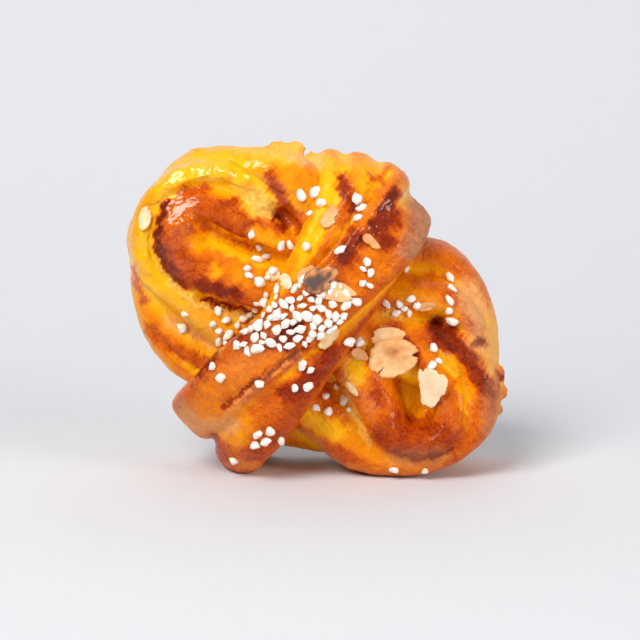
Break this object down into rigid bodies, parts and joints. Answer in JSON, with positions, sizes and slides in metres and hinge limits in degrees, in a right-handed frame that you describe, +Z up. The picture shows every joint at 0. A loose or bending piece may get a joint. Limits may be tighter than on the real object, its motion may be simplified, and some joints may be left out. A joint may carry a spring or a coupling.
{
  "type": "saffron knot bun",
  "caption": "Knotted saffron bun of looped dough strands with a belt round the middle, pearl sugar and almond flakes, standing on its edge.",
  "frame": {"origin": "middle of the bottom of the bounding box, on the surface that the bun stands on", "axes": "+X across the face to the right, +Y from the sugared face to the flat baked back, +Z up"},
  "size_m": [0.117, 0.0502, 0.1036],
  "materials": {
    "crust": "egg-washed baked crust: saffron yellow where it is pale, orange to dark red-brown on the raised coils, softly glossy",
    "pearl_sugar": "matt white nibs of pressed sugar, slightly translucent",
    "almond": "thin cream slices of almond, toasted light brown at the rims"
  },
  "bodies": {
    "root": {"bun": "crust"}
  },
  "joints": []
}
